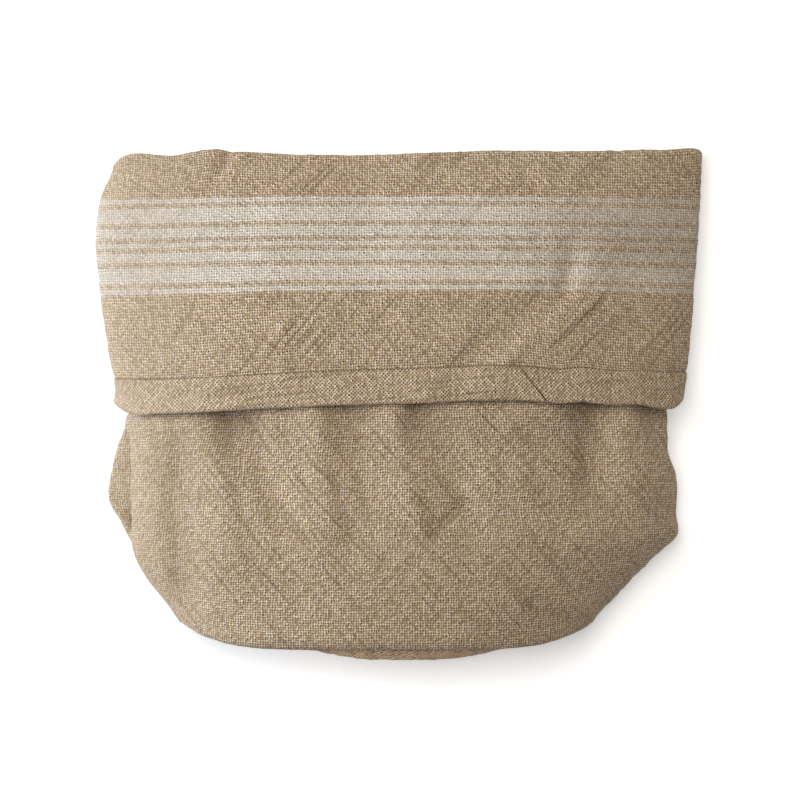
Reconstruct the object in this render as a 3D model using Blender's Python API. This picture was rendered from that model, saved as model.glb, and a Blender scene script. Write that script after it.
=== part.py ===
# Linen bread bag, lying on its back with its mouth turned out and folded down into a deep cuff.
#
# X runs across the bag, +Y points out of its mouth and +Z is up; the bag rests on z = 0.
# Three pieces of cloth: the wall (tube and cuff in one), the round base and the bias binding.
# Sizes are in millimetres until add_solid() turns them into metres.

from collections import namedtuple

import bmesh
import bpy
import numpy as np

CLOTH = 1.5  # thickness of the washed linen
TAPE = 0.8  # thickness of one leaf of the binding
TAPE_WIDTH = 16.0
GAP = 0.3  # kept between two pieces that are sewn together
SEAM_GAP = 0.5  # the same, round the tight corners of the base seam

EDGE_Y = 1.0  # where the cuff's cloth ends inside the binding, before its own unevenness
FRONT_ROUNDNESS = 6  # how late a section's ring turns towards the mouth at its sides
BACK_ROUNDNESS = 3
BASE_FLANGE = 4.0  # how far the base's seam allowance reaches back into the wall
BASE_BULGE = 8.3  # how far the base stands out past the wall's edge
BASE_BULGE_X = 5.0  # the middle of the bulge
BASE_BULGE_HALF_WIDTH = 52.0
BASE_TUCK = 21.0  # depth of the fold that takes up the round base's slack, side to side
BASE_TUCK_HALF_HEIGHT = 6.5
BASE_SHARES = (0.97, 0.90, 0.79, 0.68, 0.56, 0.45, 0.34, 0.23, 0.12)

MOUTH_WANDER_START = 85.0  # from here to the fold the cloth takes up the mouth's unevenness
EDGE_WANDER_START = 70.0  # and from here to the free edge the cuff takes up the edge's
SIDE_FOLD_FROM_X = 90.0

FRONT_STEPS = 40  # segments across the front, side to side
BACK_STEPS = 16  # segments across the back
SHOWN_BODY_RINGS = 15
HIDDEN_BODY_RINGS = 7  # inside the cuff
CUFF_RINGS = 10  # above the binding
MOUTH_STEPS = 6  # round the mouth's fold
HIDDEN_FROM_Y = -2.0

# A section of a tube of cloth. y is where it crosses the middle of the front and side_shift how much
# nearer to the mouth its sides lie, back_shift the middle of its back. left, right, crown and floor
# are its outer face, and side_height is the height at which it is widest.
Section = namedtuple("Section", "y side_shift back_shift left right crown side_height floor")

BODY = [
    Section(-122.6, 13.0, 6.0, -109.5, 95.0, 43.5, 14.0, 0.0),
    Section(-119.5, 11.5, 5.0, -111.5, 97.5, 47.0, 12.5, 0.0),
    Section(-112.0, 9.0, 3.5, -115.0, 102.0, 49.0, 11.0, 0.0),
    Section(-102.0, 6.0, 2.0, -120.5, 108.5, 50.0, 10.0, 0.0),
    Section(-90.0, 3.0, 1.0, -127.5, 117.5, 50.5, 10.0, 0.0),
    Section(-78.0, 1.5, 0.0, -133.0, 128.0, 51.0, 11.0, 0.0),
    Section(-67.0, 0.5, 0.0, -134.5, 138.2, 51.0, 12.0, 0.0),
    Section(-56.0, 0.0, 0.0, -134.5, 136.6, 51.0, 13.0, 0.0),
    Section(-36.0, 0.0, 0.0, -134.5, 137.4, 50.0, 14.0, 0.0),
    Section(-24.0, 0.0, 0.0, -134.8, 134.6, 49.0, 14.5, 0.0),
    Section(-11.0, 0.0, 0.0, -135.2, 133.6, 48.0, 15.0, 4.2),
    Section(-3.0, 0.0, 0.0, -135.4, 133.6, 47.5, 15.0, 4.4),
    Section(18.0, 0.0, 0.0, -137.0, 135.5, 46.5, 15.0, 4.4),
    Section(45.0, 0.0, 0.0, -141.0, 138.5, 43.5, 15.0, 2.2),
    Section(80.0, 0.0, 0.0, -144.5, 141.0, 38.0, 14.5, 2.2),
    Section(105.0, 0.0, 0.0, -142.5, 142.5, 30.5, 13.5, 3.2),
    Section(121.0, 0.0, 0.0, -138.5, 144.0, 24.0, 12.5, 3.8),
]

CUFF = [
    Section(121.0, 0.0, 0.0, -144.0, 151.4, 30.5, 12.5, 0.0),
    Section(112.0, 0.0, 0.0, -146.9, 150.9, 36.0, 13.5, 0.0),
    Section(100.0, 0.0, 0.0, -150.4, 150.2, 40.0, 14.5, 0.0),
    Section(78.0, 0.0, 0.0, -152.4, 148.9, 45.5, 15.5, 0.0),
    Section(60.0, 0.0, 0.0, -150.8, 147.4, 49.0, 16.0, 0.0),
    Section(40.0, 0.0, 0.0, -147.8, 145.9, 52.0, 16.0, 0.0),
    Section(20.0, 0.0, 0.0, -143.6, 143.8, 54.0, 16.0, 1.1),
    Section(10.0, 0.0, 0.0, -141.2, 142.0, 54.6, 16.0, 1.1),
    Section(0.0, 0.0, 0.0, -142.4, 140.8, 54.8, 16.0, 1.1),
]

# How far the mouth's fold and the cuff's free edge stray along y from a plain ring, across the front.
Wander = namedtuple("Wander", "x off")

MOUTH_WANDER = [
    Wander(-144.0, -4.2),
    Wander(-138.0, -0.6),
    Wander(-128.0, -0.2),
    Wander(-116.0, -1.4),
    Wander(-92.0, 2.0),
    Wander(-76.0, 0.6),
    Wander(-58.0, -0.5),
    Wander(0.0, -0.6),
    Wander(46.0, 0.8),
    Wander(70.0, 0.5),
    Wander(120.0, 0.8),
    Wander(140.0, 1.2),
    Wander(151.0, 2.6),
]

EDGE_WANDER = [
    Wander(-142.5, 0.4),
    Wander(-139.0, -2.8),
    Wander(-134.0, -5.2),
    Wander(-120.0, -5.2),
    Wander(-100.0, -4.4),
    Wander(-50.0, -1.8),
    Wander(0.0, -0.2),
    Wander(72.0, 0.3),
    Wander(120.0, -0.8),
    Wander(134.0, -2.6),
    Wander(142.0, 2.4),
]

# A soft ridge (rise above 0) or trough (below 0) on a front face, from its upper to its lower end.
Fold = namedtuple("Fold", "x_upper y_upper x_lower y_lower half_width rise")

BODY_FOLDS = [
    Fold(-113.0, -28.0, -111.0, -92.0, 8.0, -2.6),
    Fold(-99.0, -16.0, -96.0, -92.0, 9.0, 2.6),
    Fold(-84.0, 4.0, -82.0, -20.0, 10.0, -6.5),
    Fold(-82.0, -20.0, -74.0, -56.0, 8.0, -2.8),
    Fold(-64.0, -6.0, -45.0, -68.0, 10.0, 3.6),
    Fold(-39.0, -16.0, -22.0, -72.0, 8.0, -3.0),
    Fold(-12.0, -8.0, -3.0, -58.0, 9.0, 2.0),
    Fold(7.0, 2.0, 21.0, -62.0, 9.0, -3.0),
    Fold(28.0, -8.0, 47.0, -54.0, 12.0, 2.6),
    Fold(89.0, 4.0, 89.0, -14.0, 12.0, -6.0),
    Fold(88.0, -14.0, 84.0, -36.0, 9.0, -2.6),
    Fold(108.0, -6.0, 109.0, -58.0, 9.0, 2.6),
    Fold(126.0, 2.0, 127.0, -14.0, 7.0, -3.0),
]

CUFF_FOLDS = [
    Fold(86.0, 104.0, 78.0, 58.0, 10.0, -2.0),
    Fold(78.0, 58.0, 32.0, 18.0, 9.0, -2.4),
    Fold(98.0, 72.0, 92.0, 56.0, 10.0, 1.6),
    Fold(76.0, 44.0, 42.0, 16.0, 7.0, 1.6),
    Fold(44.0, 98.0, 70.0, 90.0, 8.0, 1.2),
    Fold(-92.0, 126.0, -96.0, 112.0, 6.0, -1.6),
    Fold(-60.0, 90.0, -78.0, 30.0, 14.0, 1.2),
    Fold(-20.0, 96.0, -8.0, 22.0, 16.0, -1.2),
]

# A fold that stands out from, or a groove that runs along, one side of the body, at its own height,
# and the share of it that is reached at each y.
SideFold = namedtuple("SideFold", "side height half_height out reach")

SIDE_FOLDS = [
    SideFold(-1, 5.0, 6.2, 14.6, [
        (-70.0, 0.0), (-66.8, 0.20), (-62.8, 0.38), (-58.8, 0.54), (-54.8, 0.76), (-50.8, 0.91),
        (-44.8, 1.0), (-38.8, 0.97), (-30.8, 0.86), (-22.8, 0.71), (-14.8, 0.59), (-8.0, 0.42), (-2.0, 0.0),
    ]),
    SideFold(-1, 12.5, 3.5, -3.0, [(-67.0, 0.0), (-58.0, 0.9), (-45.0, 1.0), (-25.0, 0.8), (-8.0, 0.0)]),
    SideFold(1, 5.0, 5.0, 3.0, [(-72.0, 0.0), (-60.0, 1.0), (-38.0, 1.0), (-26.0, 0.0)]),
]

PALE_LINEN = (0.42, 0.33, 0.22)
TAPE_LINEN = (0.45, 0.355, 0.24)


def clear_scene():
    for old in list(bpy.data.objects):
        bpy.data.objects.remove(old, do_unlink=True)


def linen(name, colour):
    material = bpy.data.materials.new(name)
    material.use_nodes = True
    shader = material.node_tree.nodes["Principled BSDF"]
    shader.inputs["Base Color"].default_value = (*colour, 1.0)
    shader.inputs["Roughness"].default_value = 0.9
    shader.inputs["Metallic"].default_value = 0.0
    return material


def smooth_through(places, values, at):
    """A soft curve through the given values, flat past both ends."""
    places, values = np.array(places, float), np.array(values, float)
    if places[0] > places[-1]:
        places, values = places[::-1], values[::-1]
    steps = np.diff(places)
    rates = np.diff(values) / steps
    slopes = np.zeros(len(places))
    inner = (rates[:-1] * steps[1:] + rates[1:] * steps[:-1]) / (steps[:-1] + steps[1:])
    slopes[1:-1] = inner
    slopes[0], slopes[-1] = rates[0], rates[-1]
    at = np.clip(at, places[0], places[-1])
    cell = np.clip(np.searchsorted(places, at) - 1, 0, len(steps) - 1)
    t = (at - places[cell]) / steps[cell]
    rise = values[cell + 1] - values[cell]
    ahead = slopes[cell] * steps[cell]
    behind = slopes[cell + 1] * steps[cell]
    return (
        values[cell]
        + ahead * t
        + (3 * rise - 2 * ahead - behind) * t**2
        + (ahead + behind - 2 * rise) * t**3
    )


def ease(value):
    """0 below 0, 1 above 1 and a soft step between."""
    value = np.clip(value, 0.0, 1.0)
    return value * value * (3 - 2 * value)


def section_at(table, y):
    """The section that a table gives at y."""
    ys = [row.y for row in table]
    return Section(y, *(
        float(smooth_through(ys, [row[column] for row in table], y))
        for column in range(1, len(Section._fields))
    ))


def spaced_run(points, steps, crowding):
    """Points spaced along a line, crowding them towards both its ends."""
    length = np.concatenate([[0], np.cumsum(np.linalg.norm(np.diff(points, axis=0), axis=1))])
    share = np.linspace(0, 1, steps + 1)
    share = share - crowding * np.sin(2 * np.pi * share) / (2 * np.pi)
    return np.stack([np.interp(share * length[-1], length, column) for column in points.T], axis=1)


def section_outline(section):
    """The x and z of a section's middle layer: over the front from right to left, back underneath."""
    inset = CLOTH / 2
    left, right = section.left + inset, section.right - inset
    crown, floor = section.crown - inset, max(section.floor, 0.0) + inset
    middle, half = (left + right) / 2, (right - left) / 2
    angle = np.linspace(0, np.pi, 361)
    over, across = np.sin(angle), np.cos(angle)
    front = np.stack([
        middle + half * across,
        section.side_height + (crown - section.side_height) * over,
    ], axis=1)
    flatness = 0.5  # below 1 the underside is squarer than an ellipse
    depth = 1.12 * (section.side_height - floor) * over**flatness
    under = np.stack([
        middle - half * np.sign(across) * np.abs(across) ** flatness,
        np.maximum(section.side_height - depth, floor),
    ], axis=1)
    front = spaced_run(front, FRONT_STEPS, 0.25)
    under = spaced_run(under, BACK_STEPS, 0.6)
    return np.concatenate([front[:-1], under[:-1]]), middle, half


def outward(outline):
    """The direction out of a closed outline at each of its points."""
    along = np.roll(outline, -1, axis=0) - np.roll(outline, 1, axis=0)
    along /= np.linalg.norm(along, axis=1, keepdims=True)
    return np.stack([along[:, 1], -along[:, 0]], axis=1)


def fold_rise(folds, x, y):
    """How far the folds lift the cloth at each x and y."""
    lift = np.zeros_like(x)
    for fold in folds:
        upper = np.array([fold.x_upper, fold.y_upper])
        run = np.array([fold.x_lower, fold.y_lower]) - upper
        length = np.hypot(*run)
        run /= length
        along = (x - upper[0]) * run[0] + (y - upper[1]) * run[1]
        off = (x - upper[0]) * run[1] - (y - upper[1]) * run[0]
        past = np.maximum(np.maximum(-along, along - length), 0)
        lift += fold.rise * np.exp(-(off**2 + past**2) / fold.half_width**2)
    return lift


def stray(table, x):
    return smooth_through([row.x for row in table], [row.off for row in table], x)


def cloth_ring(section, folds):
    """One ring of the wall: the section, uneven along its y, with its folds raised."""
    outline, middle, half = section_outline(section)
    across = np.abs(outline[:, 0] - middle) / half
    is_back = np.arange(len(outline)) > FRONT_STEPS
    turned = across ** np.where(is_back, BACK_ROUNDNESS, FRONT_ROUNDNESS)
    y = section.y + section.side_shift * turned
    y += np.where(is_back, section.back_shift * (1 - turned), 0)
    mouth_share = ease((section.y - MOUTH_WANDER_START) / (BODY[-1].y - MOUTH_WANDER_START))
    y += mouth_share * stray(MOUTH_WANDER, outline[:, 0])
    facing_up = ease(outward(outline)[:, 1] * 2.0)
    lift = fold_rise(folds, outline[:, 0], y) * facing_up
    outline = outline + outward(outline) * lift[:, None]
    return np.stack([outline[:, 0], y, outline[:, 1]], axis=1)


def add_side_folds(ring):
    """Pushes the low side folds out of a ring of the body."""
    for fold in SIDE_FOLDS:
        on_side = ring[:, 0] * fold.side > SIDE_FOLD_FROM_X
        reach = smooth_through([y for y, _ in fold.reach], [share for _, share in fold.reach], ring[:, 1])
        level = np.exp(-(((ring[:, 2] - fold.height) / fold.half_height) ** 2))
        ring[:, 0] += np.where(on_side, fold.side * fold.out * reach * level, 0)
    return ring


def body_rings():
    """The body from its base seam to the mouth's fold."""
    shown = np.linspace(BODY[0].y, HIDDEN_FROM_Y, SHOWN_BODY_RINGS)
    hidden = np.linspace(HIDDEN_FROM_Y, BODY[-1].y, HIDDEN_BODY_RINGS + 1)[1:]
    stations = np.concatenate([shown, hidden])
    return [add_side_folds(cloth_ring(section_at(BODY, y), BODY_FOLDS)) for y in stations]


def cuff_rings():
    """The cuff from the mouth's fold down to its free edge, the last three under the binding."""
    bound = EDGE_Y + TAPE_WIDTH * np.array([1.0, 0.5, 0.0])
    plain = np.linspace(CUFF[0].y, bound[0], CUFF_RINGS + 1)[:-1]
    rings = []
    for y in np.concatenate([plain, bound]):
        ring = cloth_ring(section_at(CUFF, y), CUFF_FOLDS)
        edge_share = ease((EDGE_WANDER_START - y) / (EDGE_WANDER_START - bound[0]))
        ring[:, 1] += edge_share * stray(EDGE_WANDER, ring[:, 0])
        rings.append(ring)
    return rings


def mouth_rings(inner, outer):
    """The rolled fold between the body's last ring and the cuff's first."""
    centre, arm = (inner + outer) / 2, (outer - inner) / 2
    radius = np.linalg.norm(arm[:, [0, 2]], axis=1)
    rings = []
    for angle in np.linspace(0, np.pi, MOUTH_STEPS + 1)[1:-1]:
        ring = centre - arm * np.cos(angle)
        ring[:, 1] += radius * np.sin(angle)
        rings.append(ring)
    return rings


def wall_rings():
    body, cuff = body_rings(), cuff_rings()
    return np.array(body + mouth_rings(body[-1], cuff[0]) + cuff)


def ring_normals(rings):
    """The direction square to a tube of rings: into the bag on its body and out of it on its cuff."""
    around = np.roll(rings, -1, axis=1) - np.roll(rings, 1, axis=1)
    along = np.gradient(rings, axis=0)
    normal = np.cross(around, along)
    return normal / np.linalg.norm(normal, axis=2, keepdims=True)


def add_solid(name, material, rows, cap_ends=False):
    """A closed solid whose surface is a tube of rings, closed on itself or with a face at each end."""
    count, around = rows.shape[:2]
    shape = bmesh.new()
    grid = [[shape.verts.new(point / 1000) for point in row] for row in rows]
    for i in range(count if not cap_ends else count - 1):
        for j in range(around):
            here, ahead = grid[i], grid[(i + 1) % count]
            k = (j + 1) % around
            shape.faces.new([here[j], here[k], ahead[k], ahead[j]])
    if cap_ends:
        shape.faces.new(grid[0])
        shape.faces.new(grid[-1])
    bmesh.ops.recalc_face_normals(shape, faces=shape.faces)
    if shape.calc_volume(signed=True) < 0:
        bmesh.ops.reverse_faces(shape, faces=shape.faces)
    bmesh.ops.triangulate(shape, faces=shape.faces)
    mesh = bpy.data.meshes.new(name)
    shape.to_mesh(mesh)
    shape.free()
    mesh.materials.append(material)
    mesh.shade_smooth()
    solid = bpy.data.objects.new(name, mesh)
    bpy.context.scene.collection.objects.link(solid)
    return solid


def add_bag_cloth(rings, normals):
    outer = rings + normals * CLOTH / 2
    inner = rings - normals * CLOTH / 2
    rows = np.concatenate([outer, inner[::-1]])
    return add_solid("bag_cloth", linen("washed_linen", PALE_LINEN), rows)


def add_edge_binding(rings, normals):
    """The tape: down the cuff's outer face, round its free edge and up its hidden face."""
    near, far = CLOTH / 2 + GAP, CLOTH / 2 + GAP + TAPE
    bound, out = rings[-3:], normals[-3:]
    edge, edge_out = bound[-1], out[-1]
    away = bound[-1] - bound[-2]
    away /= np.linalg.norm(away, axis=1, keepdims=True)

    def turn(radius):
        return [
            edge + radius * (edge_out * np.cos(angle) + away * np.sin(angle))
            for angle in np.radians([45, 90, 135])
        ]

    outer = list(bound + out * far) + turn(far) + list((bound - out * far)[::-1])
    inner = list(bound + out * near) + turn(near) + list((bound - out * near)[::-1])
    rows = np.array(outer + inner[::-1])
    return add_solid("edge_binding", linen("bias_tape", TAPE_LINEN), rows)


def base_rings(rings, normals):
    """The base's middle layer: its flange inside the wall's end, then in to the middle of the base."""
    inset = CLOTH + SEAM_GAP
    flange = rings[:2] + inset * normals[:2]
    rim = flange[0]
    first = rim + (flange[1] - rim) * BASE_FLANGE / np.linalg.norm(flange[1] - rim, axis=1, keepdims=True)
    middle = (rim.max(axis=0) + rim.min(axis=0)) / 2
    half_width = np.ptp(rim[:, 0]) / 2
    result = [first, rim]
    for share in BASE_SHARES:
        ring = middle + (rim - middle) * share
        across = (ring[:, 0] - middle[0]) / half_width
        tuck_height = middle[2] - 3.0 * across
        tuck = np.exp(-(((ring[:, 2] - tuck_height) / BASE_TUCK_HALF_HEIGHT) ** 2)) * (1 - across**2)
        bulge = BASE_BULGE * np.exp(-(((ring[:, 0] - BASE_BULGE_X) / BASE_BULGE_HALF_WIDTH) ** 4))
        plain = rim[:, 1] * share**2 + rim[:, 1].min() * (1 - share**2)
        ring[:, 1] = plain - bulge * (1 - share**3.6) + BASE_TUCK * tuck * ease((1 - share) / 0.25)
        result.append(ring)
    return np.array(result)


def add_base_panel(rings, normals):
    base = base_rings(rings, normals)
    out = -ring_normals(base)
    lid = np.concatenate([(base + out * CLOTH / 2)[::-1], base - out * CLOTH / 2])
    return add_solid("base_panel", linen("base_linen", PALE_LINEN), lid, cap_ends=True)


def centre_on_origin(solids):
    """Puts the origin under the middle of the whole bag, at the surface it rests on."""
    corners = np.array([corner for solid in solids for corner in solid.bound_box])
    middle = (corners.max(axis=0) + corners.min(axis=0)) / 2
    for solid in solids:
        solid.location = (-middle[0], -middle[1], 0.0)


clear_scene()
wall = wall_rings()
wall_normals = ring_normals(wall)
centre_on_origin([
    add_bag_cloth(wall, wall_normals),
    add_edge_binding(wall, wall_normals),
    add_base_panel(wall, wall_normals),
])
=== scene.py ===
import math

import bmesh
import bpy
import numpy as np
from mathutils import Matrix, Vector, noise


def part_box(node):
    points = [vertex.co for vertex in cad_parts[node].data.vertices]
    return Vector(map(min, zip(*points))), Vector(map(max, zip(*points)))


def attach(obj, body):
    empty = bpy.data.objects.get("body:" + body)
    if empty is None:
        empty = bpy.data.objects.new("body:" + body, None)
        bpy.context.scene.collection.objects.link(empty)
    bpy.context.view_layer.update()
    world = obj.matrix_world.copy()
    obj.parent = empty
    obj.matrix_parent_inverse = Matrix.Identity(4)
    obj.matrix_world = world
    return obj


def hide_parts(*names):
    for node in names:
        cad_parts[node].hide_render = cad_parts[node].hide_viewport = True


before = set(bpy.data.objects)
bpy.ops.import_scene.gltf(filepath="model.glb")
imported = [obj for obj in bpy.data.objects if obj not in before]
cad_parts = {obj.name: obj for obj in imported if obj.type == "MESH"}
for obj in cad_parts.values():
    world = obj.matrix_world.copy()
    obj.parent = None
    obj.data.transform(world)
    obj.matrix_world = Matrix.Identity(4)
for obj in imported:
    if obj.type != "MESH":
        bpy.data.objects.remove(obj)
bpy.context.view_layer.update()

# A linen bread bag lying on its back, its mouth folded down into a deep striped cuff.
# Sizes are in millimetres here and become metres where a mesh is made.
addToScene = bpy.context.scene.collection.objects.link
drawnCorner = np.array([-152.404, -122.992, 0.0])  # the wall solid's low corner as drawn, mm
cadShift = np.array(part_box("bag_cloth")[0]) * 1000 - drawnCorner  # from the drawing to the frame, mm

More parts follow.
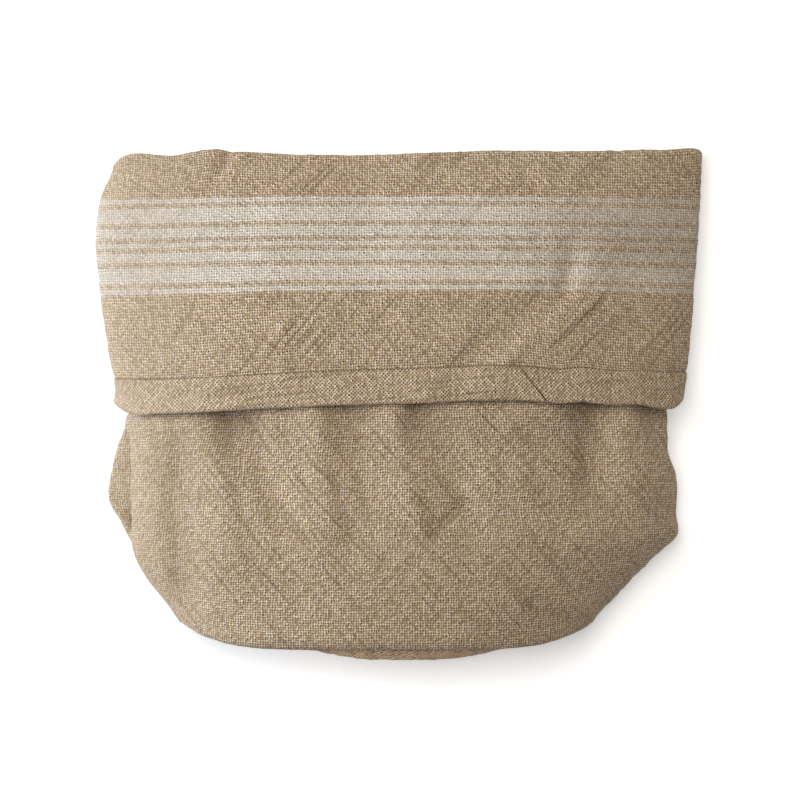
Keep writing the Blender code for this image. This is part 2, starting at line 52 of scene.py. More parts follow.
# the wall: one tube of linen, in sections along y, outer faces in mm
wall = {
    "cadCloth": 1.5,  # the solid's thickness, whose middle layer the sheet follows
    "thickness": 0.95,
    "backSquareness": 0.5,  # how square a section is underneath
    "backSag": 1.12,
    "columns": ["y", "sideShift", "backShift", "left", "right", "crown", "sideHeight", "floor"],
    "body": [
        (-122.6, 13, 6, -109.5, 95, 44.8, 14, 0), (-119.5, 11.5, 5, -111.5, 97.5, 47.6, 12.5, 0),
        (-112, 9, 3.5, -115, 102, 49, 11, 0), (-102, 6, 2, -120.5, 108.5, 50, 10, 0),
        (-90, 3, 1, -127.5, 117.5, 50.5, 10, 0), (-78, 1.5, 0, -133, 128, 51, 11, 0),
        (-67, 0.5, 0, -134.5, 138.2, 51, 12, 0), (-56, 0, 0, -134.5, 136.6, 51, 13, 0),
        (-36, 0, 0, -134.5, 137.4, 50, 14, 0), (-24, 0, 0, -134.8, 134.6, 49, 14.5, 0),
        (-11, 0, 0, -135.2, 133.6, 50.4, 15, 4.2), (-3, 0, 0, -135.4, 133.6, 50.6, 15, 4.4),
        (18, 0, 0, -137, 135.5, 48, 15, 4.4), (45, 0, 0, -141, 138.5, 43.5, 15, 2.2),
        (80, 0, 0, -144.5, 141, 38, 14.5, 2.2), (105, 0, 0, -142.5, 142.5, 30.5, 13.5, 3.2),
        (121, 0, 0, -138.5, 144, 24, 12.5, 3.8),
    ],
    "cuff": [
        (121, 0, 0, -144, 151.4, 30.5, 12.5, 0), (112, 0, 0, -146.9, 150.9, 36, 13.5, 0),
        (100, 0, 0, -150.4, 150.2, 40, 14.5, 0), (78, 0, 0, -152.4, 148.9, 45.5, 15.5, 0),
        (60, 0, 0, -150.8, 147.4, 49, 16, 0), (40, 0, 0, -147.8, 145.9, 52, 16, 0),
        (20, 0, 0, -143.6, 143.8, 54, 16, 1.1), (10, 0, 0, -141.2, 142, 54.6, 16, 1.1),
        (0, 0, 0, -142.4, 140.8, 54.8, 16, 1.1),
    ],
    # how far the mouth's fold and the cuff's free edge stray along y: x, stray
    "mouthStray": [
        (-144, -4.2), (-138, -0.6), (-128, -0.2), (-116, -1.4), (-92, 2), (-76, 0.6), (-58, -0.5), (0, -0.6),
        (46, 0.8), (70, 0.5), (120, 0.8), (140, 1.2), (151, 2.6),
    ],
    "edgeStray": [
        (-142.5, 0.4), (-139, -2.8), (-134, -5.2), (-120, -5.2), (-100, -4.4), (-50, -1.8), (0, -0.2), (72, 0.3),
        (78, -0.4), (90, 0.7), (103, -0.7), (120, -0.8), (132, -2.6), (137.5, -1.9), (140.2, 1), (142, 4),
    ],
    "tapeStray": [  # the tape's upper edge stays nearly level over both ends
        (-142.5, -4.8), (-134, -5), (-120, -5.1), (-100, -4.4), (-50, -1.8), (0, -0.2), (72, 0.3), (78, -0.4),
        (90, 0.7), (103, -0.6), (120, -1), (132, -1.5), (142, -1.8),
    ],
    "mouthStrayFrom": 101.0,
    "edgeStrayFrom": 70.0,
    "edgeY": 1.0,  # the cuff's raw edge, inside the binding
    # soft ridges and troughs: x and y of the upper end, of the lower end, half width, rise
    "bodyFolds": [
        (-110, -26, -106, -92, 10.5, -3.8), (-87, -40, -85, -70, 8, 1.2), (-90, 4, -84, -14, 10, -6),
        (-74, -12, -60, -52, 8.5, -3.2), (-40, -12, -36, -56, 9, 2.6), (-30, 4, -24, -10, 7, -2.5),
        (-19, -10, -17, -60, 8, -1.2), (-1, -12, 8, -54, 8, 2.5), (9, 4, 10, -6, 7, -3.5),
        (24, -18, 34, -62, 10, -2.2), (57, -12, 60, -42, 6.5, 1.2), (99, 4, 97, -36, 9.5, -4.8),
        (110, -6, 109, -22, 6, 1.4), (118, -10, 120, -58, 8.5, 2.4), (126, 2, 127, -10, 7, -3),
    ],
    "cuffFolds": [
        (94, 104, 86, 60, 10, -0.5), (81, 56, 35, 15, 8, -2.2), (98, 72, 92, 56, 10, 1.6), (76, 44, 42, 16, 7, 1.6),
        (44, 98, 70, 90, 8, 1.2), (-88, 126, -93, 112, 6, -1.6), (-60, 90, -78, 30, 14, 1.2),
        (-20, 96, -8, 22, 16, -1.2),
    ],
    # folds that stand out from one side of the body: side, height, half height, out, and how much of it at each y
    "sideFolds": [
        (-1, 5, 5.6, 15.2, [
            (-70, 0), (-66.8, 0.20), (-62.8, 0.38), (-58.8, 0.54), (-54.8, 0.76), (-50.8, 0.91), (-44.8, 1),
            (-38.8, 0.97), (-30.8, 0.86), (-22.8, 0.72), (-14.8, 0.66), (-8, 0.52), (-2, 0),
        ]),
        (-1, 11, 2.6, -5, [(-67, 0), (-58, 0.9), (-45, 1), (-25, 0.8), (-8, 0)]),
        (1, 5, 5, 3, [(-72, 0), (-60, 1), (-38, 1), (-26, 0)]),
    ],
    "flankFrom": 90.0,  # x past which the cloth belongs to a side
    # finer creases pressed in by washing and folding, as rows like the folds
    "bodyCreases": [
        (-32, -40, -23.5, -66, 3.2, -1.1), (-25, -38, -17, -62, 3, 0.6), (31, -51, 18, -67, 3.4, -1),
        (4, -30, 17, -58, 3.4, -0.9), (-31, -12, 11, -55, 1.9, 0.55), (-27.5, -12, 13.5, -54, 1.7, -0.35),
        (10, -88, 21, -99, 2.2, 0.5), (-49, -30, -37, -46, 2.2, -0.55), (-69, -50, -60, -62, 2.2, -0.55),
        (-88, -33, -80, -43, 2.2, -0.5), (-79, -52, -70, -69, 2.6, -0.9), (38, -41, 52, -56, 2, 0.55),
        (42, -80, 60, -99, 2, 0.5), (105, -38, 121, -60, 2, 0.55), (22, -103, 33, -114, 2.2, 0.5),
        (59, -63, 47, -82, 2.2, 0.45), (24, -18, 33, -28, 2.4, 0.4), (53, -13, 46, -28, 4, 0.7),
        (88, -10, 95, -34, 3.4, -1.1), (-89, -4, -85, -20, 3, -1.2), (-76, -4, -70, -16, 2.6, -0.8),
        (-66, -10, -61, -24, 4, 0.9), (-101, -44, -99, -80, 4, 0.7), (-115, -40, -112, -88, 3.6, -0.7),
        (-5, -3, 3, -24, 3, 0.7), (8, -2, 4, -16, 3.2, -1.2), (-37, -2, -30, -12, 3, -1),
        (104, -4, 110, -24, 4, 0.8), (70, -70, 84, -88, 2.2, -0.4), (-20, -74, -2, -92, 2.2, 0.4),
        (92, -62, 80, -78, 2.2, 0.4), (-60, -84, -48, -98, 2.4, -0.4), (-118, -10, -116, -34, 3, 0.6),
    ],
    "cuffCreases": [
        (81, 52, 52, 25, 3.2, -1.1), (46, 33, 24, 16, 2.6, -0.8), (73, 48, 54, 22, 4, 0.9),
        (101, 54, 74, 30, 2.2, 0.7), (104, 53, 77, 28, 1.8, -0.5), (106, 49, 133, 18, 2.2, 0.8),
        (111, 50, 135, 22, 1.8, -0.5), (130, 38, 121, 29, 2, 0.6), (84.5, 68, 83.5, 57, 4.5, -1.7),
        (68, 88, 71, 58, 3.4, -0.7), (94, 74, 86, 58, 4.5, 0.9), (39, 33, 36, 24, 3.4, -0.9),
        (1, 44, 12, 21, 2.2, 0.5), (14, 101, 5, 90, 2.2, 0.55), (-86, 42, -79, 31, 2.2, 0.5),
        (-54, 43, -66, 29, 2, 0.6), (-51, 41, -63, 27, 1.8, -0.4), (-103, 47, -113, 32, 2.2, -0.5),
        (-31, 42, -29, 30, 2.2, 0.4), (-58, 42, -58, 18, 4, 0.9), (-38, 17, -30, 28, 2.2, 0.5),
        (-45, 119, -33, 111, 2, 0.5), (-110, 114, -105, 104, 2, 0.5), (-81, 113, -87, 104, 2, 0.45),
        (-84.5, 126, -87.5, 117, 2.4, -1.7), (-92.5, 124, -96.5, 112, 3, 0.8), (135, 118, 143, 107, 2, 0.6),
        (60, 118, 68, 106, 2.4, -0.6), (20, 118, 8, 108, 2.4, -0.5), (-12, 119, -4, 109, 2.2, 0.5),
        (118, 100, 112, 90, 2.2, 0.45), (-20, 56, -6, 40, 2.6, -0.5), (-128, 36, -120, 22, 2.6, -0.5),
    ],
    # painted shade where the cloth is tucked away from the light under the binding: x, y, half sizes, depth of the
    # shade
    "paintedHollowShade": [
        (-82, -9, 13, 9, 0.28), (-73, -19, 7, 13, 0.16), (-30, -4, 13, 6, 0.24), (14, -8, 9, 10, 0.24),
        (-5, -24, 6, 16, 0.10), (-16, -5, 9, 6, 0.10), (-84, -26, 7, 13, 0.12), (88, -4, 11, 10, 0.38),
        (60, -110, 48, 14, 0.09), (-106, -52, 8, 34, 0.05), (122, -3, 10, 4, 0.36),
    ],
    # painted shade over the cuff's band towards the right: x, y, half sizes, depth of the shade
    "paintedCuffShade": [(130, 104, 36, 20, 0.09), (80, 62, 6, 8, 0.06), (114, 80, 44, 15, 0.13)],
    # painted shade in the groove beside the left fold: y, depth
    "grooveShade": [(-66, 0), (-63, 0.50), (-58, 0.58), (-53, 0.26), (-30, 0.16), (-8, 0)],
    # the band's white is worn thin and greyed as painted shade towards both sides: x where it starts, over how many
    # mm, and how much
    "wornLeft": (-95, -40, 0.60),
    "wornRight": (54, 40, 1.0),
    "stillWhite": [(91, 68, 9, 11, 0.50), (116, 64, 16, 8, 0.25)],  # and where some of it comes back
    # the weave is closed up towards the flanks, with less painted shade in its holes
    "closedLeft": (-75, -55, 0.32),
    "closedRight": (60, 70, 0.10),
    # diagonal puckering all over, mm and degrees; it comes and goes in patches, over soft unevenness
    "crinkle": {"height": 0.60, "long": 60.0, "wide": 4.2, "slant": 48.0, "patchiness": 0.022, "softness": 0.05},
    "bodyPuckers": (3.0, 0.3, 1.1),  # seed, and how much rises to the right and how much falls
    "cuffPuckers": (9.0, 0.8, 0.55),
    "flatUpTo": 4.0,  # the cloth lies flat on the surface below this height
    "unevenOver": 8.0,  # and has all its unevenness this much above it
    "underTape": 0.3,  # what is left of it under the binding
    "frontSteps": 196,
    "frontCrowding": 0.12,  # how far columns crowd towards the sides
    "backSteps": 72,
    "backCrowding": 0.70,
    "bodyRows": 76,
    "hiddenRows": 14,
    "mouthRows": 10,
    "cuffRows": 72,
    "boundRows": 9,
    "hiddenFrom": -2.0,
    "frontRoundness": 6,  # how late a section turns towards the mouth at its sides
    "backRoundness": 3,
    "baseRoll": 0.5,  # the seam allowance shows as a low roll along the base seam
    "baseRollAt": 2.4,  # mm from the seam
    "ditch": 0.45,  # the cuff is drawn in along the binding's upper edge
    "ditchAbove": 0.4,
    "ridgeHalf": 1.5,  # half width of the roll and of the ditch
}

binding = {
    "width": 16.0,
    "leaf": 0.95,  # thickness of one leaf where it is full
    "near": 0.66,  # from the cuff's middle layer to the leaf's near face
    "pucker": 0.35,  # the bias tape ripples a little along its length
    "joinTop": 58.2,  # x where the slanting join meets the upper edge
    "joinFoot": 71.6,  # and the lower edge
    "fineFrom": 52.0,  # the columns are finer between these x
    "fineTo": 80.0,
    "fineStep": 0.2,
    "slantHalf": 16.0,  # how far from the join the columns still slant with it
    "slantWithin": 45.0,
    "lap": 0.5,  # the left end lies on the right one
    "lapFade": 7.0,
    "slit": 0.75,  # how deep the join is pressed in
    # how dark the painted shade in the join's slit is
    "slitShade": 0.80,
    "ripples": [(0.11, 1.6, 5.0, 1.0), (0.27, 1.1, 15.0, 0.6)],  # to a mm along, across the width, seed, share
    "thinnest": 0.12,
    "turnSteps": 8,  # steps round the fold at the tape's foot
}

base = {
    "thickness": 0.95,
    "inset": 2.0,  # from the wall's middle layer to the base's, as in the CAD
    "flange": 4.0,
    "bulge": 8.9,
    "bulgeAt": 7.0,
    "bulgeHalf": 54.0,
    "bulgeFrom": 3.6,  # how soon the bulge begins inside the seam
    "tuck": 21.0,
    "tuckHalfHeight": 6.5,
    "tuckTilt": 3.0,
    "tuckOver": 0.25,  # share of the radius over which the tuck begins
    "rings": 60,
    "ringCrowding": 1.3,
    "rimSquash": 0.25,  # the rim lies this much wider than high, and its cloth is round
    "puckers": (17.0, 0.6, 0.6),
    "closed": 0.30,
}

weave = {
    "warpPitch": 1.27,  # mm between threads running up the bag
    "weftPitch": 1.26,
    "bandMiddle": 79.4,  # y of the middle of the striped band, mm
    "bandDropLeft": (-40, -110, 1.5),  # the band arches a little
    "bandDropRight": (60, 90, 1.1),
    "dropRows": 12,
    # threads from the band's middle to where each stripe or gap begins, and how white it is: seen
    # across, stripes of 2, 6, 4, 2, 4, 6 and 2 white threads with 2 of flax between
    "stripes": [(1, 0.22), (3, 1), (7, 0.22), (9, 1), (15, 0.22), (17, 1)],
    "bandHalf": 19,
    "bandReach": 20,
}


def smoothThrough(places, values, at):  # a soft curve through the values, flat past both ends
    places, values = np.array(places, float), np.array(values, float)
    if places[0] > places[-1]:
        places, values = places[::-1], values[::-1]
    steps = np.diff(places)
    rates = np.diff(values) / steps
    slopes = np.zeros(len(places))
    slopes[1:-1] = (rates[:-1] * steps[1:] + rates[1:] * steps[:-1]) / (steps[:-1] + steps[1:])
    slopes[0], slopes[-1] = rates[0], rates[-1]
    at = np.clip(at, places[0], places[-1])
    cell = np.clip(np.searchsorted(places, at) - 1, 0, len(steps) - 1)
    t = (at - places[cell]) / steps[cell]
    rise = values[cell + 1] - values[cell]
    ahead, behind = slopes[cell] * steps[cell], slopes[cell + 1] * steps[cell]
    return values[cell] + ahead * t + (3 * rise - 2 * ahead - behind) * t**2 + (ahead + behind - 2 * rise) * t**3


def ease(value):
    value = np.clip(value, 0.0, 1.0)
    return value * value * (3 - 2 * value)


def comesIn(start, over, share, x):  # nothing up to the start, and the whole share that far on
    return share * ease((x - start) / over)


def sectionAt(table, y):
    ys = [row[0] for row in table]
    values = [float(smoothThrough(ys, [row[i] for row in table], y)) for i in range(1, 8)]
    return dict(zip(wall["columns"], [y] + values))


def along(points):  # distance along a line of points
    return np.concatenate([[0], np.cumsum(np.linalg.norm(np.diff(points, axis=0), axis=1))])


def pickAlong(points, shares):
    length = along(points)
    return np.stack([np.interp(shares * length[-1], length, column) for column in points.T], axis=1)


def crowded(steps, crowding):  # shares of a run, closer together at its ends
    share = np.linspace(0, 1, steps + 1)
    return share - crowding * np.sin(2 * np.pi * share) / (2 * np.pi)


def outlineAt(section):  # x and z over the front from right to left, then back underneath
    inset = wall["cadCloth"] / 2
    left, right = section["left"] + wall["thickness"] / 2, section["right"] - wall["thickness"] / 2
    crown, floor = section["crown"] - inset, max(section["floor"], 0.0) + inset
    middle, half = (left + right) / 2, (right - left) / 2
    angle = np.linspace(0, np.pi, 721)  # fine enough to measure along
    over, across = np.sin(angle), np.cos(angle)
    side = section["sideHeight"]
    front = np.stack([middle + half * across, side + (crown - side) * over], axis=1)
    squareness = wall["backSquareness"]
    under = np.stack([
        middle - half * np.sign(across) * np.abs(across) ** squareness,
        np.maximum(side - wall["backSag"] * (side - floor) * over**squareness, floor),
    ], axis=1)
    return pickAlong(front, frontShares), pickAlong(under, backShares), middle, half


def outwardOf(outline):
    run = np.roll(outline, -1, axis=0) - np.roll(outline, 1, axis=0)
    run /= np.linalg.norm(run, axis=1, keepdims=True)
    return np.stack([run[:, 1], -run[:, 0]], axis=1)


def foldRise(folds, x, y):
    endFade = 0.65  # a fold dies out more slowly past its ends than beside it
    lift = np.zeros_like(x)
    for xUpper, yUpper, xLower, yLower, halfWidth, rise in folds:
        run = np.array([xLower - xUpper, yLower - yUpper])
        length = np.hypot(*run)
        run = run / length
        ahead = (x - xUpper) * run[0] + (y - yUpper) * run[1]
        off = (x - xUpper) * run[1] - (y - yUpper) * run[0]
        past = np.maximum(np.maximum(-ahead, ahead - length), 0)
        lift += rise * np.exp(-(off**2 + (endFade * past) ** 2) / halfWidth**2)
    return lift


def stray(table, at):  # a table of places and values, read in between
    return smoothThrough([row[0] for row in table], [row[1] for row in table], at)


# columns of the fine wall, from the middle of the back round the right side, over the front and back under
frontShares = crowded(wall["frontSteps"], wall["frontCrowding"])
backShares = crowded(wall["backSteps"], wall["backCrowding"])
backHalf = wall["backSteps"] // 2
frontEnd = backHalf + wall["frontSteps"]


def ringAt(table, folds, y):
    section = sectionAt(table, y)
    front, under, middle, half = outlineAt(section)
    outline = np.concatenate([front[:-1], under[:-1]])
    isBack = np.arange(len(outline)) >= len(front) - 1
    roundness = np.where(isBack, wall["backRoundness"], wall["frontRoundness"])
    turned = (np.abs(outline[:, 0] - middle) / half) ** roundness
    ys = y + section["sideShift"] * turned
    ys = ys + np.where(isBack, section["backShift"] * (1 - turned), 0)
    mouthShare = ease((y - wall["mouthStrayFrom"]) / (wall["body"][-1][0] - wall["mouthStrayFrom"]))
    ys = ys + mouthShare * stray(wall["mouthStray"], outline[:, 0])
    out = outwardOf(outline)
    facingUp = ease(out[:, 1] * 2.0)
    lift = foldRise(folds, outline[:, 0], ys) * facingUp
    outline = outline + out * lift[:, None]
    ring = np.stack([outline[:, 0], ys, outline[:, 1]], axis=1)
    return np.roll(ring, backHalf, axis=0)


def withSideFolds(ring):
    for side, height, halfHeight, out, shares in wall["sideFolds"]:
        reach = stray(shares, ring[:, 1])
        level = np.exp(-(((ring[:, 2] - height) / halfHeight) ** 2))
        ring[:, 0] += np.where(ring[:, 0] * side > wall["flankFrom"], side * out * reach * level, 0)
    return ring


def puckerAt(points, seed, rising, falling):  # diagonal ridges of washed linen, in mm
    facts = wall["crinkle"]
    turn, patchiness, softness = math.radians(facts["slant"]), facts["patchiness"], facts["softness"]
    lift = np.empty(len(points))
    for i, (x, y, z) in enumerate(points):
        total = 0.0
        for slant, share in ((turn, rising), (-turn, falling)):
            ahead = x * math.cos(slant) + y * math.sin(slant)
            off = y * math.cos(slant) - x * math.sin(slant)
            place = Vector((ahead / facts["long"], off / facts["wide"], z * 0.02 + seed + slant))
            patch = 0.5 + noise.noise(Vector((x * patchiness, y * patchiness, seed + 40.0 + slant)))
            total += share * max(patch, 0.0) * (0.5 - 2.0 * abs(noise.noise(place)))
        soft = noise.noise(Vector((x * softness, y * softness, z * softness + seed + 9.0)))
        lift[i] = total + 0.5 * soft
    return lift * facts["height"]


def normalsOf(rings):
    around = np.roll(rings, -1, axis=1) - np.roll(rings, 1, axis=1)
    ahead = np.gradient(rings, axis=0)
    normal = np.cross(around, ahead)
    return normal / np.maximum(np.linalg.norm(normal, axis=2, keepdims=True), 1e-9)


def makeShell(name, rows, uvs, closedEnds=True, **shades):
    # rows of points, closed round; uvs has one more column, where the cloth's own run starts again
    count, around = rows.shape[:2]
    vertices = (rows.reshape(-1, 3) + cadShift) / 1000
    i = np.arange(count if closedEnds else count - 1)[:, None]
    j = np.arange(around)[None, :]
    nextI, nextJ = (i + 1) % count, (j + 1) % around
    faces = np.stack([i * around + j, i * around + nextJ, nextI * around + nextJ, nextI * around + j], axis=-1)
    corners = np.stack([uvs[i, j], uvs[i, j + 1], uvs[nextI, j + 1], uvs[nextI, j]], axis=2)
    mesh = bpy.data.meshes.new(name)
    mesh.from_pydata(vertices.tolist(), [], faces.reshape(-1, 4).tolist())
    layer = mesh.uv_layers.new(name="cloth")
    layer.data.foreach_set("uv", corners.reshape(-1))
    for shade, values in shades.items():
        mesh.attributes.new(shade, "FLOAT", "POINT").data.foreach_set("value", values.reshape(-1))
    mesh.shade_smooth()
    piece = bpy.data.objects.new(name, mesh)
    addToScene(piece)
    return piece


def facesOut(piece):  # the shell's volume tells which way its faces point
    vertices = np.array([v.co for v in piece.data.vertices])
    total = 0.0
    for polygon in piece.data.polygons:
        a, b, c, d = (vertices[k] for k in polygon.vertices)
        total += np.dot(a, np.cross(b, c)) + np.dot(a, np.cross(c, d))
    if total < 0:
        piece.data.flip_normals()


print("linen bag: laying out the wall")
bodyY = np.linspace(wall["body"][0][0], wall["hiddenFrom"], wall["bodyRows"])
hiddenY = np.linspace(wall["hiddenFrom"], wall["body"][-1][0], wall["hiddenRows"] + 1)[1:]
boundTop = wall["edgeY"] + binding["width"]
bodyFolds = wall["bodyFolds"] + wall["bodyCreases"]
cuffFolds = wall["cuffFolds"] + wall["cuffCreases"]


def cuffRing(y):
    ring = ringAt(wall["cuff"], cuffFolds, y)
    share = ease((wall["edgeStrayFrom"] - y) / (wall["edgeStrayFrom"] - boundTop))
    level = ease((y - wall["edgeY"]) / binding["width"])
    ring[:, 1] += share * (1 - level) * stray(wall["edgeStray"], ring[:, 0])
    ring[:, 1] += share * level * stray(wall["tapeStray"], ring[:, 0])
    return ring


def mouthRings(inner, outer, steps):
    centre, arm = (inner + outer) / 2, (outer - inner) / 2
    radius = np.linalg.norm(arm[:, [0, 2]], axis=1)
    rings = []
    for angle in np.linspace(0, np.pi, steps + 1)[1:-1]:
        ring = centre - arm * np.cos(angle)
        ring[:, 1] += radius * np.sin(angle)
        rings.append(ring)
    return rings


bodyRings = [withSideFolds(ringAt(wall["body"], bodyFolds, y)) for y in np.concatenate([bodyY, hiddenY])]
cuffY = np.linspace(wall["cuff"][0][0], boundTop, wall["cuffRows"] + 1)[:-1]
boundY = np.linspace(boundTop, wall["edgeY"], wall["boundRows"])
cuffRings = [cuffRing(y) for y in np.concatenate([cuffY, boundY])]
wallRings = np.array(bodyRings + mouthRings(bodyRings[-1], cuffRings[0], wall["mouthRows"]) + cuffRings)

# the unevenness fades where the cloth lies flat on the surface, and under the binding
wallOut = normalsOf(wallRings)
bodyCount = len(bodyRings)
frontMiddle = backHalf + wall["frontSteps"] // 2
boundRows = wall["boundRows"]
offSurface = ease((wallRings[..., 2] - wall["flatUpTo"]) / wall["unevenOver"])
lift = np.stack([
    puckerAt(ring, *wall["bodyPuckers" if k < bodyCount else "cuffPuckers"]) for k, ring in enumerate(wallRings)
])
lift *= offSurface
lift[-boundRows:] *= wall["underTape"]
rowPlace = along(wallRings[:, frontMiddle])
roll = np.exp(-(((rowPlace - wall["baseRollAt"]) / wall["ridgeHalf"]) ** 2))
lift += wall["baseRoll"] * roll[:, None] * offSurface
ditchPlace = rowPlace[-boundRows] - wall["ditchAbove"]
lift -= wall["ditch"] * np.exp(-(((rowPlace - ditchPlace) / wall["ridgeHalf"]) ** 2))[:, None]
side = np.where(np.arange(len(wallRings)) < bodyCount, -1.0, 1.0)[:, None]
wallRings += wallOut * (lift * side)[..., None]
wallOut = normalsOf(wallRings)

# the cloth's own coordinates: u along the weft from the middle of the front, v along the warp from the base
reach = np.concatenate([wallRings, wallRings[:, :1]], axis=1)
run = np.concatenate([
    np.zeros((len(reach), 1)),
    np.cumsum(np.linalg.norm(np.diff(reach, axis=1), axis=2), axis=1),
], axis=1)
frontSpan = slice(backHalf + 20, frontEnd - 20)  # clear of the sides, where x turns back
u = np.stack([row - np.interp(0.0, -ring[frontSpan, 0], row[frontSpan]) for row, ring in zip(run, reach)])
v = np.repeat(along(reach[:, frontMiddle])[:, None], u.shape[1], axis=1)
v += weave["weftPitch"] / 2  # the edge at the base seam runs along the middle of a thread
firstCuff = len(wallRings) - len(cuffRings)
cuffMiddleY = np.array([ring[frontMiddle, 1] for ring in cuffRings])
bandV = np.interp(-weave["bandMiddle"], -cuffMiddleY, v[firstCuff:, 0])
drop = comesIn(*weave["bandDropLeft"], reach[..., 0]) + comesIn(*weave["bandDropRight"], reach[..., 0])
onCuff = ease((np.arange(len(reach)) - firstCuff) / weave["dropRows"])[:, None]
v = v - drop * onCuff
uv = np.stack([u, v], axis=2) / 1000


def patches(table, x, y):  # soft round patches: x, y, half sizes, amount
    total = 0
    for px, py, sizeX, sizeY, amount in table:
        total = total + amount * np.exp(-(((x - px) / sizeX) ** 2) - ((y - py) / sizeY) ** 2)
    return total


def closedAt(x):
    return comesIn(*wall["closedLeft"], x) + comesIn(*wall["closedRight"], x)


# painted shade where each place is tucked away from the light, and how worn and greyed the band's white is
wallX, wallY, wallZ = np.moveaxis(wallRings, 2, 0)
tucked = patches(wall["paintedHollowShade"], wallX, wallY) * (wallOut[..., 2] < 0)
# painted shade in the groove beside the left fold
grooveSide, grooveHeight, grooveHalf = wall["sideFolds"][1][:3]
groove = np.exp(-(((wallZ - grooveHeight) / (grooveHalf * 0.8)) ** 2)) * (wallX * grooveSide > wall["flankFrom"])
tucked = tucked + groove * stray(wall["grooveShade"], wallY)
tucked[bodyCount:] = (patches(wall["paintedCuffShade"], wallX, wallY) * (wallOut[..., 2] > 0))[bodyCount:]
worn = comesIn(*wall["wornRight"], wallX) * np.clip(1 - patches(wall["stillWhite"], wallX, wallY), 0, 1)
worn = worn + comesIn(*wall["wornLeft"], wallX)

half = wall["thickness"] / 2
outer, inner = wallRings + wallOut * half, wallRings - wallOut * half
bagCloth = makeShell("bagCloth", np.concatenate([outer, inner[::-1]]), np.concatenate([uv, uv[::-1]]),
                     tucked=np.concatenate([tucked, tucked[::-1]]), worn=np.concatenate([worn, worn[::-1]]),
                     closed=closedAt(np.concatenate([wallX, wallX[::-1]])))
facesOut(bagCloth)
print("linen bag: wall has", len(bagCloth.data.polygons) * 2, "triangles")

print("linen bag: folding the binding over the edge")
bound, boundOut, boundU = wallRings[-boundRows:], wallOut[-boundRows:], u[-boundRows:]
tapeShare = np.linspace(0, 1, boundRows)  # 0 at the tape's upper edge, 1 at the cuff's own edge
joinX = binding["joinTop"] + (binding["joinFoot"] - binding["joinTop"]) * tapeShare


def tapeColumns():  # places along the wall's columns, closer together at the join and slanting with it
    count = bound.shape[1]
    xs = bound[boundRows // 2, :, 0]
    steps = []
    for k in range(count):
        onFront = backHalf < k < frontEnd
        nearJoin = onFront and binding["fineFrom"] < xs[k] < binding["fineTo"]
        steps += list(k + np.arange(0, 1, binding["fineStep"] if nearJoin else 1.0))
    steps = np.array(steps)
    middle = (binding["joinTop"] + binding["joinFoot"]) / 2
    columns = []
    for row, join in zip(bound, joinX):
        x = np.interp(steps, np.arange(count), xs)
        front = (steps > backHalf) & (steps < frontEnd)
        aim = x + np.where(front, (join - middle) * np.exp(-(((x - middle) / binding["slantHalf"]) ** 2)), 0)
        order = np.arange(backHalf, frontEnd)
        slid = np.interp(-aim, -row[order, 0], order)
        columns.append(np.where(front & (np.abs(x - middle) < binding["slantWithin"]), slid, steps))
    return np.array(columns)


def pickColumns(row, places):  # points between the columns of a closed row
    low = np.floor(places).astype(int) % len(row)
    share = (places - np.floor(places))[:, None]
    return row[low] * (1 - share) + row[(low + 1) % len(row)] * share


columns = tapeColumns()
tapeOn, tapeOut, tapeU = [], [], []
for k in range(boundRows):
    tapeOn.append(pickColumns(bound[k], columns[k]))
    normal = pickColumns(boundOut[k], columns[k])
    tapeOut.append(normal / np.linalg.norm(normal, axis=1, keepdims=True))
    tapeU.append(np.interp(np.append(columns[k], bound.shape[1]), np.arange(boundU.shape[1]), boundU[k]))
tapeOn, tapeOut, tapeU = np.array(tapeOn), np.array(tapeOut), np.array(tapeU)

# ripples of the tape, and the join pressed in along its slanting line
joinOff = tapeOn[..., 0] - joinX[:, None]
joinOff = np.where(tapeOut[..., 2] > 0.2, joinOff, 99.0)  # only the front has the join
ripple = np.array([[
    sum(share * noise.noise(Vector((tapeU[k, c] * run, tapeShare[k] * over, seed)))
        for run, over, seed, share in binding["ripples"])
    for c in range(tapeOn.shape[1])] for k in range(boundRows)])
lap = binding["lap"] * np.where(joinOff < 0, np.exp(joinOff / binding["lapFade"]), 0.0)
slitGrows = (0.60 + 0.40 * tapeShare)[:, None]  # deeper and wider towards the fold
slitHalf = (0.40 + 0.25 * tapeShare)[:, None]
slitProfile = np.exp(-(((joinOff - slitHalf) / slitHalf) ** 2))
slit = binding["slit"] * slitGrows * slitProfile
shape = (0.35 + 0.65 * ease(tapeShare / 0.2))[:, None]  # pressed thin along the upper edge, full towards the fold
swell = shape * binding["leaf"] + binding["pucker"] * ripple * ease(tapeShare / 0.4)[:, None] + (lap - slit) * shape
swell = np.maximum(swell, binding["thinnest"])
tapeTurn = np.radians(np.linspace(0, 180, binding["turnSteps"] + 1)[1:-1])


